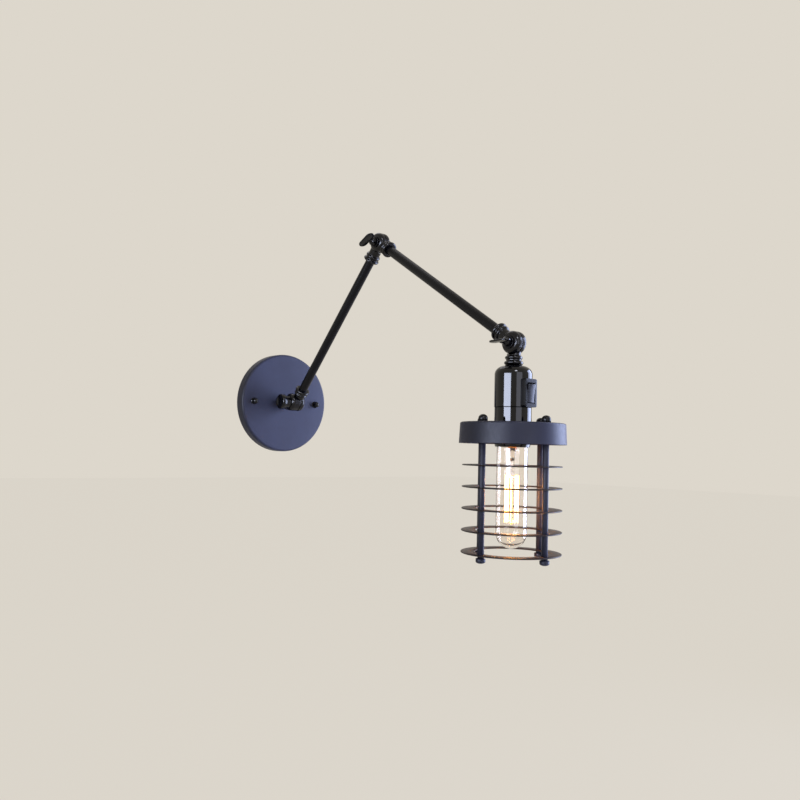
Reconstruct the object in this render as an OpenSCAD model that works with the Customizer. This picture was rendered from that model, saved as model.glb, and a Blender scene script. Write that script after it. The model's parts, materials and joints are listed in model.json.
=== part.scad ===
// Swing arm wall lamp: round wall canopy, two jointed arms, and a caged lamp head.
// Origin: centre of the canopy's back, on the wall. +Z is up, and the lamp reaches out to -Y.
// Every pivot turns about the X axis. The arms stand as in the usual reading position.

/* [Pose] */
// Lean of the lower arm away from straight up, in degrees
lower_lean = 42.7; // [15:0.1:70]
// Lean of the upper arm away from straight down, in degrees
upper_lean = 57.3; // [35:0.1:80]
// Turn of the elbow thumb screw above level, in degrees
elbow_screw_turn = 27; // [0:1:90]
// Turn of the head thumb screw above level, in degrees
head_screw_turn = 2; // [0:1:90]

/* [Canopy] */
// Outer diameter of the canopy
canopy_d = 121; // [105:0.5:180]
// Depth of the canopy from the wall to its face
canopy_h = 13.2; // [12:0.1:24]
// Thickness of the canopy's sheet
canopy_wall = 1.2; // [0.8:0.1:2]
// Radius between the canopy's face and its rim
canopy_edge_r = 3; // [1.5:0.1:5]
// Distance between the two fixing studs
stud_pitch = 88.9; // [76:0.1:100]
// Diameter of a fixing stud
stud_d = 4; // [3:0.1:5]
// Diameter of a domed cap nut
cap_nut_d = 7; // [6:0.1:9]
// Height of a domed cap nut
cap_nut_h = 7.2; // [5:0.1:10]

/* [Wall plate] */
// Length of the crossbar behind the canopy
bar_l = 104; // [98:0.5:104]
// Width of the crossbar
bar_w = 24; // [18:0.5:34]
// Thickness of the crossbar's strip
bar_t = 2; // [1.2:0.1:3]
// Height that the crossbar's ends stand off the wall
bar_lift = 3.6; // [3:0.1:5]
// Distance between the two round wall screw holes
wall_hole_pitch = 60; // [58:0.5:66]
// Diameter of a wall screw hole
wall_hole_d = 4.5; // [3.5:0.1:5.5]

/* [Knuckles] */
// Distance from the wall to the lowest pivot
pivot_out = 38; // [36:0.1:60]
// Diameter of a knuckle's drum
drum_d = 21; // [19:0.1:23]
// Thickness of one half of a knuckle
half_t = 7; // [5:0.1:9]
// Thickness of the wall knuckle's fixed half
wall_half_t = 11.5; // [7:0.1:14]
// Radius of the drum's rounded edge
drum_edge_r = 3.8; // [1:0.1:4]
// Diameter of the smooth neck
neck_d = 12.6; // [11.8:0.1:13.2]
// Distance from a pivot to its first rib at the near end of an arm
near_rib = 12.7; // [12.4:0.1:16]
// Extra reach of the neck at the far end of an arm
far_extra = 2.7; // [0:0.1:6]
// Diameter of the first rib
rib1_d = 16; // [15.2:0.1:16.6]
// Diameter of the second rib
rib2_d = 17.4; // [16:0.1:18]
// Diameter of the groove between the ribs
groove_d = 13.8; // [12.8:0.1:14.4]
// Width of a rib
rib_w = 3.3; // [2.2:0.1:3.6]
// Distance from one rib to the next
rib_pitch = 4.7; // [4.4:0.1:6]
// Diameter of the pivot screw's shank
shank_d = 5; // [4:0.1:6]
// Diameter of a friction washer
washer_d = 19.4; // [15:0.1:20]
// Thickness of a friction washer
washer_t = 0.6; // [0.5:0.1:1.2]

/* [Arms] */
// Length of the lower arm from pivot to pivot
lower_arm_l = 231.5; // [160:0.5:260]
// Length of the upper arm from pivot to pivot
upper_arm_l = 234; // [160:0.5:260]
// Outer diameter of an arm tube
tube_d = 10; // [9:0.1:10.8]
// Wall of an arm tube
tube_wall = 1.2; // [0.8:0.1:1.8]
// Depth that a tube enters its neck
tube_seat = 6; // [4:0.1:7]

/* [Screws] */
// Diameter of the wall pivot's round knob
knob_d = 17.8; // [14:0.1:20]
// Length of the wall pivot's round knob
knob_l = 12; // [8:0.1:16]
// Diameter of a thumb screw's shoulder
shoulder_d = 8.6; // [7:0.1:10]
// Length of a thumb screw's shoulder
shoulder_l = 4; // [2:0.1:6]
// Width of the thumb screw's flat spade
spade_w = 21; // [16:0.1:26]
// Length of the spade along the screw
spade_l = 9.6; // [8:0.1:12]
// Thickness of the spade
spade_t = 2.6; // [2:0.1:3.2]
// Diameter of the plain washer under a thumb screw
collar_d = 12; // [10:0.1:14]
// Thickness of the plain washer under a thumb screw
collar_t = 1.2; // [0.8:0.1:2]

/* [Lampholder] */
// Outer diameter of the lampholder's cap
socket_d = 34; // [33.6:0.1:38]
// Distance from the head pivot to the top of the cap
socket_top = 20.3; // [19.8:0.1:24]
// Height of the cap's dome
dome_h = 11; // [8:0.1:13]
// Length of the cap from its top to its seam
cap_l = 38.2; // [36:0.1:44]
// Length of the skirt from the seam to the pan
skirt_l = 13.6; // [10:0.1:18]
// Diameter of the skirt
skirt_d = 33.2; // [33:0.1:34]
// Diameter of the threaded sleeve that passes the pan
sleeve_d = 32; // [31.8:0.1:32.6]
// Wall of the threaded sleeve
sleeve_wall = 1.4; // [1.2:0.1:1.6]
// Length of the sleeve below the pan's top
sleeve_l = 21.5; // [19:0.1:26]
// Wall of the lampholder's parts
socket_wall = 1.4; // [1.2:0.1:1.5]
// Width of the switch housing
switch_w = 15; // [12:0.1:18]
// Height of the switch housing
switch_h = 25; // [22:0.1:26]
// Distance that the switch housing stands out of the cap
switch_out = 4; // [3:0.1:6]
// Width of the rocker
rocker_w = 9.6; // [8:0.1:10]
// Height of the rocker
rocker_h = 17; // [14:0.1:19]
// Distance that the rocker's ends stand out from its pivot
rocker_reach = 3.6; // [3:0.1:4]
// Depth of the hollow in the rocker's face
rocker_hollow = 0.7; // [0.3:0.1:1]
// Tilt of the rocker in its on position, in degrees
rocker_tilt = 7; // [4:0.5:8]

/* [Cage] */
// Outer diameter of the pan
pan_d = 96; // [94:0.5:120]
// Height of the pan
pan_h = 19; // [14:0.1:28]
// Thickness of the pan's sheet
pan_wall = 1.5; // [1:0.1:2]
// Radius of the pan's upper edge
pan_edge_r = 2.4; // [1.6:0.1:4]
// Diameter of the circle of rods
rod_circle = 76.4; // [74:0.1:78]
// Diameter of a rod
rod_d = 5.5; // [4:0.1:6.5]
// Diameter of a rod's threaded end
rod_thread_d = 3.4; // [2.4:0.1:3.6]
// Distance from the pan's rim to the first ring, and from ring to ring
ring_gap = 19.2; // [16:0.1:24]
// Outer diameter of a ring
ring_d = 88.8; // [86:0.1:94]
// Inner diameter of a ring
ring_bore = 64; // [56:0.1:66]
// Thickness of a ring
ring_t = 1; // [0.8:0.1:2]
// Distance that the rods reach below the last ring
rod_tail = 2.4; // [1:0.1:8]
// Diameter of the domed nut on top of a rod
top_nut_d = 8.2; // [6.8:0.1:9]
// Height of the domed nut on top of a rod
top_nut_h = 6.2; // [5:0.1:9]
// Diameter of the foot under a rod
foot_d = 8.5; // [7:0.1:10]
// Height of the foot under a rod
foot_h = 4.6; // [4:0.1:8]
// Height of the upright side of a rod's nut or foot
nut_side = 2.6; // [1.6:0.1:3.4]

/* [Bulb] */
// Diameter of the bulb's glass
bulb_d = 28; // [26:0.1:28.2]
// Distance from the head pivot to the bulb's tip
bulb_tip = 183.5; // [172:0.5:190]
// Thickness of the bulb's glass
glass_t = 0.8; // [0.6:0.1:1.2]
// Pitch of the bulb cap's thread
cap_pitch = 3.63; // [3:0.01:3.8]
// Number of threads on the bulb's cap
cap_threads = 5; // [3:1:5]
// Length of the lit filament
filament_l = 41.5; // [30:0.5:50]
// Distance from the bulb's tip up to the filament
filament_lift = 23; // [18:0.5:34]
// Diameter of the circle of filament strands
filament_circle = 12; // [8:0.1:14]
// Number of filament strands
filament_strands = 10; // [6:2:12]
// Diameter of a filament strand
filament_d = 0.6; // [0.4:0.05:0.8]

/* [Fits] */
// Gap round a turning pin or a loose piece
fit = 0.2; // [0.15:0.01:0.3]
// Gap between faces that slide past each other
slip = 0.1; // [0.05:0.01:0.2]
// Clearance of a drum from the neck that passes round it
sweep_gap = 0.6; // [0.4:0.05:1]

/* [Hidden] */
$fn = 64;
drum_r = drum_d / 2;
lap = washer_t / 2 + slip;
far_rib = near_rib + far_extra;
neck_tail = rib_pitch + rib_w;
near_end = near_rib + neck_tail;
far_end = far_rib + neck_tail;
elbow_y = -pivot_out - lower_arm_l * sin(lower_lean);
elbow_z = lower_arm_l * cos(lower_lean);
head_y = elbow_y - upper_arm_l * sin(upper_lean);
head_z = elbow_z - upper_arm_l * cos(upper_lean);
pivot_a = [0, -pivot_out, 0];
pivot_b = [0, elbow_y, elbow_z];
pivot_c = [0, head_y, head_z];
upper_dir = 180 - upper_lean;
wall_end = pivot_out - canopy_h;
nipple_d = 9.5;
nipple_bore = 6;
nipple_in = 8;
lock_nut_t = 3;
lock_nut_af = 14;
lock_washer_t = 1;
lock_washer_d = 18;
thread_share = 0.6;
bore_share = 0.7;
earth_x = 14;
earth_z = 8;
earth_screw_d = 3;
cap_seat = 0.3;
ring_count = 5;
seam_z = -socket_top - cap_l;
pan_top = seam_z - skirt_l;
pan_rim = pan_top - pan_h;
ring_z = [for (i = [0 : ring_count - 1]) pan_rim - ring_gap * (i + 1)];
rod_end = ring_z[ring_count - 1] - rod_tail;
sleeve_end = pan_top - sleeve_l;
sleeve_bore = sleeve_d - 2 * sleeve_wall;
shell_wall = 0.5;
shell_od = sleeve_bore - 2 * fit;
shell_groove = 0.5;
shell_top = pan_top + 15;
shell_end = sleeve_end + 3;
base_plate_t = 5;
contact_gap = 0.6;
contact_t = 0.6;
cap_wall = 0.5;
cap_groove = 1;
cap_thread_d = shell_od - 2 * (shell_wall + shell_groove) - 3 * fit;
cap_shoulder_r = cap_thread_d / 2 - 2.1;
button_h = 7;
button_flange_r = 7;
cap_top = shell_top - base_plate_t - contact_gap;
cap_thread_top = cap_top - button_h;
cap_end = cap_thread_top - cap_pitch * cap_threads - 1.4;
glass_neck_r = cap_thread_d / 2 - cap_groove - cap_wall - slip;
shoulder_h = 6.4;
stem_rod_r = 1;
filament_end = -bulb_tip + filament_lift;
filament_top = filament_end + filament_l;
switch_z = -socket_top - cap_l + switch_h / 2;
switch_face = -socket_d / 2 - switch_out;
rocker_axis_in = 2.6;
rocker_gap = 0.4;
shade_ring_d = 41;
shade_ring_t = 6;

// Places a piece at a pivot, with its own +Z turned outwards from straight up by the angle
module at(p, angle) {
    translate(p) rotate([angle, 0, 0]) children();
}

// A solid along X from x0 to x1, round about the X axis
module rod_x(x0, x1, d) {
    translate([x0, 0, 0]) rotate([0, 90, 0]) cylinder(h = x1 - x0, d = d);
}

// A solid along Y, from y0 out to the smaller y1
module rod_y(y0, y1, d) {
    translate([0, y0, 0]) rotate([90, 0, 0]) cylinder(h = y0 - y1, d = d);
}

// Quarter arc of points round [cx, cy], from angle a0 to a1
function arc(cx, cy, r, a0, a1, n = 6) =
    [for (i = [0 : n]) let (a = a0 + (a1 - a0) * i / n) [cx + r * cos(a), cy + r * sin(a)]];

// Half of a drum: its lap face at x0, its outer face at x1, with a rounded outer edge
module half_drum(x0, x1) {
    t = x1 - x0;
    translate([x0, 0, 0]) rotate([0, 90, 0]) rotate_extrude()
        polygon(concat([[0, 0], [drum_r, 0]],
            arc(drum_r - drum_edge_r, t - drum_edge_r, drum_edge_r, 0, 90), [[0, t]]));
}

// Turned neck along +Z: smooth stretch, rounded rib, groove, rounded rib
module neck(first_rib) {
    r = rib_w / 2;
    second = first_rib + rib_pitch;
    cylinder(h = first_rib + r, d = neck_d);
    translate([0, 0, first_rib + r]) cylinder(h = rib_pitch, d = groove_d);
    rib(first_rib, rib1_d);
    rib(second, rib2_d);
}

// One rounded rib round the Z axis
module rib(z, d) {
    r = rib_w / 2;
    translate([0, 0, z]) rotate_extrude()
        polygon(concat([[0, 0]], arc(d / 2 - r, r, r, -90, 90, 8), [[0, rib_w]]));
}

// Lapped half of a knuckle on the +X side. The neck stands in the middle plane,
// and the space that the other half's drum sweeps is cut out of it.
module knuckle_half(first_rib, t, bore, blind) {
    difference() {
        union() {
            half_drum(lap, t);
            neck(first_rib);
        }
        rod_x(-rib2_d, lap, drum_d + 2 * sweep_gap);
        if (blind) rod_x(0, t - 1.6, bore);
        else rod_x(0, t + 1, bore);
    }
}

// The same half on the -X side
module knuckle_half_left(first_rib, t, bore, blind) {
    mirror([1, 0, 0]) knuckle_half(first_rib, t, bore, blind);
}

// Socket in the end of a neck that takes a tube
module tube_socket(end) {
    translate([0, 0, end - tube_seat]) cylinder(h = tube_seat + 1, d = tube_d);
}

module canopy() {
    r = canopy_d / 2;
    color("#3a3d4e") difference() {
        rotate([90, 0, 0]) rotate_extrude($fn = 128)
            polygon(concat([[r - canopy_wall, 0], [r, 0]],
                arc(r - canopy_edge_r, canopy_h - canopy_edge_r, canopy_edge_r, 0, 90),
                [[0, canopy_h], [0, canopy_h - canopy_wall]],
                arc(r - canopy_edge_r, canopy_h - canopy_edge_r,
                    canopy_edge_r - canopy_wall, 90, 0)));
        rod_y(0, -canopy_h - 1, nipple_d + 2 * fit);
        for (s = [-1, 1]) translate([s * stud_pitch / 2, 0, 0])
            rod_y(0, -canopy_h - 1, stud_d + 2 * fit);
    }
}

// Strip with a flat middle on the wall and raised ends that carry the studs
module wall_crossbar() {
    step_in = 9;
    slot_in = 12;
    slot_l = 7;
    flat = stud_pitch / 2 - step_in;
    end = bar_l / 2;
    out = -bar_lift;
    color("silver") difference() {
        linear_extrude(height = bar_w, center = true)
            polygon([[-end, out], [-flat - bar_lift, out], [-flat, 0], [flat, 0],
                [flat + bar_lift, out], [end, out], [end, out - bar_t],
                [flat + bar_lift - 1, out - bar_t], [flat - 1, -bar_t],
                [1 - flat, -bar_t], [1 - flat - bar_lift, out - bar_t], [-end, out - bar_t]]);
        rod_y(1, -bar_t - 1, nipple_d + 3);
        for (s = [-1, 1]) {
            translate([s * stud_pitch / 2, 0, 0]) rod_y(1, out - bar_t - 1, stud_d);
            translate([s * wall_hole_pitch / 2, 0, 0]) rod_y(1, -bar_t - 1, wall_hole_d);
            translate([s * (wall_hole_pitch / 2 - slot_in), 0, 0]) slot_y(slot_l, wall_hole_d);
            translate([earth_x * s, 0, earth_z * s]) rod_y(1, -bar_t - 1, earth_screw_d + 2 * fit);
        }
    }
}

// Round ended slot through the crossbar, long in X
module slot_y(length, d) {
    for (s = [-1, 1]) translate([s * (length - d) / 2, 0, 0]) rod_y(1, -bar_t - 1, d);
    translate([-(length - d) / 2, -bar_t - 1, -d / 2]) cube([length - d, bar_t + 2, d]);
}

module crossbar_studs() {
    head_gap = 0.4;
    color("silver") for (s = [-1, 1]) translate([s * stud_pitch / 2, 0, 0]) {
        rod_y(-head_gap, -bar_lift, stud_d * 1.9);
        rod_y(-bar_lift, -canopy_h - cap_nut_h * thread_share, stud_d);
    }
}

// Domed nuts on the canopy's face, with a small flange and a blind bore
module canopy_cap_nuts() {
    r = cap_nut_d / 2;
    flange_t = 0.9;
    flange_w = 0.7;
    color("#2b2c36") for (s = [-1, 1]) translate([s * stud_pitch / 2, -canopy_h, 0])
        rotate([90, 0, 0]) difference() {
            rotate_extrude()
                polygon(concat([[0, 0], [r + flange_w, 0], [r + flange_w, flange_t * 0.6],
                    [r, flange_t]], arc(0, cap_nut_h - r, r, 0, 90, 8)));
            translate([0, 0, -1]) cylinder(h = 1 + cap_nut_h * bore_share, d = stud_d);
        }
}

// Green screw that takes the earth wire
module earth_screw() {
    head_d = 6.4;
    head_t = 2.2;
    color("#3d8a4a") translate([earth_x, 0, earth_z]) {
        rod_y(-bar_t, -bar_t - head_t, head_d);
        rod_y(-fit, -bar_t, earth_screw_d);
    }
}

// Two way terminal block on the crossbar's flat, beside the nipple
module terminal_block() {
    l = 16;
    w = 9;
    h = 6.6;
    lower_x = -earth_x - 10;
    lower_z = -earth_z - 3.6;
    color("ivory") translate([lower_x, -bar_t, lower_z]) difference() {
        union() {
            translate([0, -h / 2, 0]) cube([l, h / 2, w]);
            for (i = [0, 1]) translate([i * l / 2 + 0.5, -h, 0.5])
                cube([l / 2 - 1, h / 2, w - 1]);
        }
        for (i = [0, 1]) translate([(i + 0.5) * l / 2, -h / 2, 0]) {
            translate([0, 0, -1]) cylinder(h = w + 2, d = 3);
            translate([0, 0, w / 2]) rod_y(-1, -h, 2.8);
        }
    }
}

// Threaded tube that joins the canopy to the wall knuckle, with a bore for the wires
module stem_nipple() {
    color("silver") difference() {
        rod_y(-canopy_h + canopy_wall + lock_washer_t + lock_nut_t + 1.2,
            -canopy_h - nipple_in, nipple_d);
        rod_y(1, -pivot_out, nipple_bore);
    }
}

module nipple_washer() {
    seat = -canopy_h + canopy_wall;
    color("silver") difference() {
        rod_y(seat + lock_washer_t, seat, lock_washer_d);
        rod_y(seat + lock_washer_t + 1, seat - 1, nipple_d);
    }
}

module nipple_lock_nut() {
    seat = -canopy_h + canopy_wall + lock_washer_t;
    color("silver") difference() {
        translate([0, seat + lock_nut_t, 0]) rotate([90, 0, 0])
            cylinder(h = lock_nut_t, d = lock_nut_af / cos(30), $fn = 6);
        rod_y(seat + lock_nut_t + 1, seat - 1, nipple_d);
    }
}

// Fixed half: its neck runs straight back to the canopy's face
module wall_knuckle() {
    color("#2b2c36") at(pivot_a, -90) difference() {
        intersection() {
            union() {
                knuckle_half_left(near_rib, wall_half_t, shank_d + 2 * slip, false);
                translate([0, 0, near_rib]) cylinder(h = wall_end, d = groove_d);
            }
            translate([-drum_d, -drum_d, -drum_d]) cube([2 * drum_d, 2 * drum_d, drum_d + wall_end]);
        }
        translate([0, 0, wall_end - nipple_in]) cylinder(h = nipple_in + 1, d = nipple_d);
    }
}

// Thin washer between the two halves of a knuckle
module friction_washer() {
    difference() {
        rod_x(-washer_t / 2, washer_t / 2, washer_d);
        rod_x(-washer_t, washer_t, shank_d + 2 * slip);
    }
}

module wall_friction_washer() {
    color("#8a6a3a") at(pivot_a, 0) friction_washer();
}

module elbow_friction_washer() {
    color("#8a6a3a") at(pivot_b, 0) friction_washer();
}

module head_friction_washer() {
    color("#8a6a3a") at(pivot_c, 0) friction_washer();
}

// Plain round knob on the wall pivot, and the screw that it turns
module wall_clamp_knob() {
    x = -wall_half_t - slip;
    rim = 0.6;
    face_r = 1.2;
    color("#2b2c36") at(pivot_a, 0) {
        translate([x, 0, 0]) rotate([0, -90, 0]) rotate_extrude()
            polygon(concat([[0, 0], [knob_d / 2 - rim, 0], [knob_d / 2, rim]],
                arc(knob_d / 2 - face_r, knob_l - face_r, face_r, 0, 90), [[0, knob_l]]));
        rod_x(x, half_t - 2, shank_d);
    }
}

module lower_arm_knuckle() {
    color("#2b2c36") at(pivot_a, lower_lean) difference() {
        knuckle_half(near_rib, half_t, shank_d + 2 * slip, true);
        tube_socket(near_end);
    }
}

// Plain tube from neck to neck
module arm_tube(length) {
    z0 = near_end - tube_seat;
    z1 = length - far_end + tube_seat;
    difference() {
        translate([0, 0, z0]) cylinder(h = z1 - z0, d = tube_d);
        translate([0, 0, z0 - 1]) cylinder(h = z1 - z0 + 2, d = tube_d - 2 * tube_wall);
    }
}

module lower_arm_tube() {
    color("#26262c") at(pivot_a, lower_lean) arm_tube(lower_arm_l);
}

module elbow_lower_knuckle() {
    color("#2b2c36") at(pivot_b, lower_lean + 180) difference() {
        knuckle_half_left(far_rib, half_t, shank_d + 2 * slip, false);
        tube_socket(far_end);
    }
}

module elbow_upper_knuckle() {
    color("#2b2c36") at(pivot_b, upper_dir) difference() {
        knuckle_half(near_rib, half_t, shank_d + 2 * slip, true);
        tube_socket(near_end);
    }
}

module upper_arm_tube() {
    color("#26262c") at(pivot_b, upper_dir) arm_tube(upper_arm_l);
}

module head_upper_knuckle() {
    color("#2b2c36") at(pivot_c, upper_dir + 180) difference() {
        knuckle_half_left(far_rib, half_t, shank_d + 2 * slip, false);
        tube_socket(far_end);
    }
}

// Plain washer under a thumb screw
module collar() {
    x = -half_t - collar_t;
    translate([x, 0, 0]) difference() {
        rod_x(0, collar_t, collar_d);
        rod_x(-1, collar_t + 1, shank_d + 2 * slip);
    }
}

module elbow_collar() {
    color("#2b2c36") at(pivot_b, 0) collar();
}

module head_collar() {
    color("#2b2c36") at(pivot_c, 0) collar();
}

// Screw with a turned shoulder and one flat oval spade across its end
module thumb_screw() {
    x = -half_t - collar_t - slip;
    shoulder_end = x - shoulder_l;
    throat = 3.2;
    throat_r = 2.2;
    root = 2;
    spade_x = shoulder_end - throat - spade_l / 2 + 1.4;
    rod_x(shoulder_end, half_t - 2, shank_d);
    rod_x(shoulder_end, x, shoulder_d);
    translate([shoulder_end, 0, 0]) rotate([0, -90, 0]) rotate_extrude()
        polygon([[0, 0], [shoulder_d / 2, 0], [shoulder_d / 2 - 1, 0.9], [throat_r + 0.4, throat / 2],
            [throat_r, throat], [throat_r, throat + root], [0, throat + root]]);
    translate([spade_x, 0, 0]) spade();
}

// Flat oval, wide across the screw's axis, with rounded faces
module spade() {
    r = spade_t / 2;
    hull() for (s = [-1, 1], k = [-1, 1])
        translate([0, s * (spade_w - spade_l) / 2, 0])
            scale([1, 1.15, 1]) translate([0, 0, k * r * 0.35])
                scale([(spade_l / 2) / r, (spade_l / 2) / r, 0.65]) sphere(r = r, $fn = 28);
}

module elbow_thumb_screw() {
    color("#2b2c36") at(pivot_b, -elbow_screw_turn) thumb_screw();
}

module head_thumb_screw() {
    color("#2b2c36") at(pivot_c, -head_screw_turn) thumb_screw();
}

// Lower half of the head knuckle: hangs straight down, with a spigot in the lampholder's cap
module head_knuckle() {
    spigot = 9;
    first_rib = socket_top - cap_seat - neck_tail;
    color("#2b2c36") at(pivot_c, 180) difference() {
        union() {
            knuckle_half(first_rib, half_t, shank_d + 2 * slip, true);
            translate([0, 0, socket_top - cap_seat - rib_w])
                cylinder(h = cap_seat + rib_w + spigot, d = nipple_d);
        }
        translate([0, 0, drum_r + 3]) cylinder(h = socket_top + spigot, d = nipple_bore);
    }
}

// Moulded cap with a domed top, open below, and a window behind the switch
module socket_cap() {
    r = socket_d / 2;
    top = -socket_top;
    top_r = rib2_d / 2 - 0.6;
    t = socket_wall;
    boss_l = 8;
    window_rim = 3;
    color("#121216") translate(pivot_c) difference() {
        union() {
            rotate_extrude($fn = 96) polygon(concat(
                [[0, top], [top_r, top]],
                [for (i = [0 : 8]) let (a = 90 * (1 - i / 8))
                    [top_r + (r - top_r) * cos(a), top - dome_h + (dome_h - 1) * sin(a)]],
                [[r, seam_z], [r - t, seam_z]],
                [for (i = [0 : 8]) let (a = 90 * i / 8)
                    [top_r - t + (r - top_r) * cos(a), top - dome_h - t + (dome_h - 1) * sin(a)]],
                [[0, top - t - 1]]));
            translate([0, 0, top - boss_l]) cylinder(h = boss_l - 1, d = nipple_d + 5);
        }
        translate([0, 0, top - boss_l - 1]) cylinder(h = boss_l + 2, d = nipple_d);
        translate([-switch_w / 2 + 2, -r - 1, switch_z - switch_h / 2 + window_rim])
            cube([switch_w - 4, r / 2, switch_h - 2 * window_rim]);
    }
}

// Skirt below the seam, stepping in to the sleeve that passes through the pan
module socket_skirt() {
    lip = 9;
    lip_r = socket_d / 2 - socket_wall - fit;
    lead_in = 0.6;
    color("#17171c") translate(pivot_c) difference() {
        rotate_extrude($fn = 96) polygon([[sleeve_bore / 2, seam_z + lip], [lip_r, seam_z + lip],
            [lip_r, seam_z], [skirt_d / 2, seam_z], [skirt_d / 2, pan_top],
            [sleeve_d / 2, pan_top], [sleeve_d / 2, sleeve_end + lead_in],
            [sleeve_d / 2 - lead_in, sleeve_end], [sleeve_bore / 2, sleeve_end]]);
        translate([-switch_w / 2, -socket_d / 2 - 1, seam_z])
            cube([switch_w, socket_wall + 2.6, lip + 1]);
    }
}

// Threaded ring that clamps the pan from below, with grip notches
module shade_ring() {
    bottom = pan_top - pan_wall - shade_ring_t;
    notches = 12;
    notch_d = 2.4;
    color("#17171c") translate(pivot_c) difference() {
        translate([0, 0, bottom]) cylinder(h = shade_ring_t, d = shade_ring_d);
        translate([0, 0, bottom - 1]) cylinder(h = shade_ring_t + 2, d = sleeve_d);
        for (i = [0 : notches - 1]) rotate([0, 0, 360 / notches * i])
            translate([shade_ring_d / 2, 0, bottom - 1])
                cylinder(h = shade_ring_t + 2, d = notch_d, $fn = 16);
    }
}

// Brass shell with rolled threads that takes the bulb's cap
module screw_shell() {
    r = shell_od / 2;
    n = 5;
    g = shell_groove;
    mouth_r = r - 1.2;
    color("#c9a24a") translate(pivot_c) rotate_extrude() polygon(concat(
        [[mouth_r, shell_top], [mouth_r, shell_top - 1]],
        [for (i = [0 : 2 * n]) [r - (i % 2 == 0 ? g : 0), shell_top - 2 - i * cap_pitch / 2]],
        [[r, shell_end], [r - shell_wall, shell_end]],
        [for (i = [2 * n : -1 : 0])
            [r - shell_wall - (i % 2 == 0 ? g : 0), shell_top - 2 - i * cap_pitch / 2]],
        [[mouth_r - shell_wall, shell_top - 1], [mouth_r - shell_wall, shell_top]]));
}

// Insulating plug behind the shell, with a slot for the centre contact
module shell_base() {
    plug_r = shell_od / 2 - 1.2 - shell_wall - fit / 2;
    cover_t = 4;
    wire_hole_d = 3;
    slot = [5.2, 18, 2];
    color("ivory") translate(pivot_c) difference() {
        union() {
            translate([0, 0, shell_top - base_plate_t]) cylinder(h = base_plate_t, r = plug_r);
            translate([0, 0, shell_top]) cylinder(h = cover_t, d = shell_od - 1);
        }
        translate([0, 0, shell_top - base_plate_t - 1])
            cylinder(h = base_plate_t + cover_t + 2, d = wire_hole_d);
        translate([-slot[0] / 2, -slot[1] / 2, shell_top - base_plate_t - slot[2] / 2]) cube(slot);
    }
}

// Sprung brass tongue that meets the bulb's centre contact
module centre_contact() {
    top = shell_top - base_plate_t + 1;
    tongue = [4.8, 16, contact_t];
    color("#c9a24a") translate(pivot_c) {
        translate([-tongue[0] / 2, -tongue[1] / 2, top - contact_t]) cube(tongue);
        translate([0, 0, top - contact_t]) cylinder(h = base_plate_t + 1, d = 2.8);
        translate([0, 0, top - 1]) cylinder(h = contact_t, d = 5, $fn = 24);
    }
}

// Moulded box on the front of the cap, with a window for the rocker
module switch_housing() {
    depth = switch_out + 3.4;
    r = 1.6;
    w = switch_w / 2 - r;
    h = switch_h / 2 - r;
    color("#121216") translate(pivot_c) difference() {
        translate([0, switch_face, switch_z]) rotate([-90, 0, 0])
            linear_extrude(height = depth) hull() for (sx = [-1, 1], sz = [-1, 1])
                translate([sx * w, sz * h]) circle(r = r, $fn = 24);
        translate([0, 0, switch_z - switch_h]) cylinder(h = 2 * switch_h, d = socket_d + 2 * slip);
        translate([-rocker_w / 2 - rocker_gap, switch_face - 1, switch_z - rocker_h / 2 - 0.6])
            cube([rocker_w + 2 * rocker_gap, depth + 2, rocker_h + 1.2]);
    }
}

// Rocker with a shallow hollow in its face, tipped to its on position
module switch_rocker() {
    half = rocker_h / 2;
    back = 1.4;
    chamfer = 0.4;
    hollow_r = (half * half + rocker_hollow * rocker_hollow) / (2 * rocker_hollow);
    color("#0c0c10") translate(pivot_c + [0, switch_face + rocker_axis_in, switch_z])
        rotate([rocker_tilt, 0, 0]) difference() {
            translate([-rocker_w / 2, 0, 0]) rotate([90, 0, 90]) linear_extrude(height = rocker_w)
                polygon([[back, half - chamfer], [chamfer - rocker_reach, half],
                    [-rocker_reach, half - chamfer], [-rocker_reach, chamfer - half],
                    [chamfer - rocker_reach, -half], [back, chamfer - half]]);
            translate([0, rocker_hollow - rocker_reach - hollow_r, 0])
                rod_x(-rocker_w, rocker_w, 2 * hollow_r);
        }
}

// Shallow pan on top of the cage: a disc with a deep skirt
module cage_pan() {
    r = pan_d / 2;
    t = pan_wall;
    color("#3a3d4e") translate(pivot_c) difference() {
        rotate_extrude($fn = 128) polygon(concat([[0, pan_top]],
            arc(r - pan_edge_r, pan_top - pan_edge_r, pan_edge_r, 90, 0),
            [[r, pan_rim], [r - t, pan_rim]],
            arc(r - pan_edge_r, pan_top - pan_edge_r, pan_edge_r - t, 0, 90),
            [[0, pan_top - t]]));
        translate([0, 0, pan_top - t - 1]) cylinder(h = t + 2, d = sleeve_d + 2 * slip);
        rod_holes(pan_top - t - 1, t + 2, rod_thread_d + 2 * slip);
    }
}

// Four upright holes on the rod circle
module rod_holes(z, h, d) {
    for (a = [0 : 90 : 270]) rotate([0, 0, a]) translate([rod_circle / 2, 0, z])
        cylinder(h = h, d = d);
}

// Upright rod with a threaded end above and below
module cage_rod(angle) {
    shoulder = pan_top - pan_wall;
    color("#26262c") translate(pivot_c) rotate([0, 0, angle])
        translate([rod_circle / 2, 0, 0]) {
            translate([0, 0, rod_end]) cylinder(h = shoulder - rod_end, d = rod_d);
            translate([0, 0, shoulder]) cylinder(h = pan_wall + top_nut_h * thread_share, d = rod_thread_d);
            translate([0, 0, rod_end - foot_h * thread_share])
                cylinder(h = foot_h * thread_share, d = rod_thread_d);
        }
}

module rod_front() {
    cage_rod(270);
}

module rod_left() {
    cage_rod(180);
}

module rod_back() {
    cage_rod(90);
}

module rod_right() {
    cage_rod(0);
}

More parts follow.
